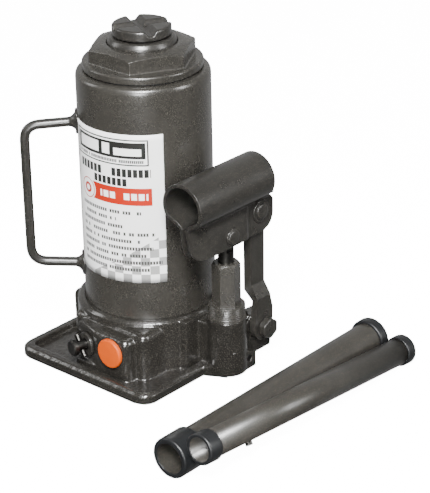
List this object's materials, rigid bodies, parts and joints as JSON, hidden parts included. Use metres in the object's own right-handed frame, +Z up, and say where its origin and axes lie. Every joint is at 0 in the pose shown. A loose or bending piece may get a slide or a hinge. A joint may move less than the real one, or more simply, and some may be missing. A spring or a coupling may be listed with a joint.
{
  "type": "hydraulic bottle jack",
  "caption": "Hydraulic bottle jack: cast base, tank with carry handle, ram with screw saddle, side lever pump, release valve and loose tube handle.",
  "frame": {"origin": "on the tank and ram axis, at the underside of the base casting", "axes": "+Z up along the ram, -Y towards the handle socket's mouth and the release valve, +X towards the pump"},
  "size_m": [0.2049, 0.1959, 0.214],
  "materials": {
    "hammer_paint": "glossy hammertone bronze-grey enamel with fine metallic fleck",
    "cast_paint": "the same enamel over a rough sand casting",
    "dark_paint": "smooth semi-gloss dark grey enamel",
    "tube_paint": "satin dark bronze-grey enamel on drawn tube",
    "steel": "machined steel with an oil film",
    "black_steel": "black-oxide spring steel",
    "seal_rubber": "black nitrile rubber",
    "seal_plastic": "natural nylon",
    "copper": "annealed copper",
    "collar_plastic": "black moulded polyethylene",
    "orange_plastic": "bright orange moulded plastic",
    "label_film": null
  },
  "bodies": {
    "base": {"base_casting": "cast_paint", "reservoir_tank": "hammer_paint", "oil_filler_plug": "seal_rubber", "tank_foot_gasket": "seal_rubber", "tank_top_gasket": "seal_rubber", "pressure_cylinder": "steel", "cylinder_foot_seal": "copper", "gland_nut": "hammer_paint", "ram_wiper": "seal_rubber", "ram_guide_ring": "seal_plastic", "label": "label_film", "carry_handle": "dark_paint", "carry_handle_welds": "dark_paint", "pump_cylinder": "hammer_paint", "pump_washer": "hammer_paint", "pump_wiper": "seal_rubber", "passage_plug": "steel", "overload_valve_plug": "orange_plastic", "overload_valve_screw": "steel", "release_valve_gland": "dark_paint", "link_bolt": "dark_paint"},
    "ram": {"ram": "dark_paint", "piston_cup_seal": "seal_rubber", "piston_guide_ring": "seal_plastic"},
    "screw_carrier": {"screw_stop_ring": "black_steel"},
    "screw": {"extension_screw": "dark_paint"},
    "plunger": {"pump_plunger": "steel", "plunger_seal": "seal_rubber"},
    "link": {"pump_link": "dark_paint"},
    "socket": {"handle_socket": "dark_paint", "plunger_pin": "dark_paint", "link_pin": "dark_paint", "pin_retaining_rings": "black_steel"},
    "release_valve": {"release_spindle": "steel", "release_cross_pin": "steel"},
    "wide_handle": {"handle_tube_wide": "tube_paint", "handle_collars_wide": "collar_plastic"},
    "thin_handle": {"handle_tube_thin": "tube_paint", "handle_collars_thin": "collar_plastic"},
    "button": {"snap_button": "steel"}
  },
  "joints": [
    {"name": "ram_lift", "type": "slide", "parent": "base", "child": "ram", "axis": [0, 0, 1], "range_m": [0, 0.13]},
    {"name": "screw_extend", "type": "slide", "parent": "ram", "child": "screw_carrier", "axis": [0, 0, 1], "range_m": [0, 0.06]},
    {"name": "screw_turn", "type": "hinge", "parent": "screw_carrier", "child": "screw", "pos_m": [0, 0, 0.21], "axis": [0, 0, 1], "range_deg": [0, 5400]},
    {"name": "link_swing", "type": "hinge", "parent": "base", "child": "link", "pos_m": [0.062, 0.029, 0.0225], "axis": [-1, 0, 0], "range_deg": [-0.12, 0.3]},
    {"name": "socket_pump", "type": "hinge", "parent": "link", "child": "socket", "pos_m": [0.062, 0.029, 0.1005], "axis": [-1, 0, 0], "range_deg": [-12, 30]},
    {"name": "plunger_stroke", "type": "slide", "parent": "base", "child": "plunger", "axis": [0, 0, 1], "range_m": [-0.00595, 0.01487]},
    {"name": "release_valve_turn", "type": "hinge", "parent": "base", "child": "release_valve", "pos_m": [-0.0045, -0.0524, 0.019], "axis": [-0.2588, -0.9659, 0], "range_deg": [0, 540]},
    {"name": "wide_handle_lift", "type": "slide", "parent": "base", "child": "wide_handle", "axis": [0, 0, 1], "range_m": [0, 0.15]},
    {"name": "thin_handle_lift", "type": "slide", "parent": "base", "child": "thin_handle", "axis": [0, 0, 1], "range_m": [0, 0.15]},
    {"name": "snap_button_press", "type": "slide", "parent": "thin_handle", "child": "button", "axis": [-0.5001, 0.0656, 0.8635], "range_m": [0, 0.0022], "stiffness_N_per_m": 400}
  ],
  "couplings": [
    {"joint": "screw_turn", "follows": "screw_extend", "rad_per_m": 1570.8},
    {"joint": "plunger_stroke", "follows": "socket_pump", "m_per_rad": 0.028397},
    {"joint": "link_swing", "follows": "socket_pump", "ratio": 0.01}
  ]
}
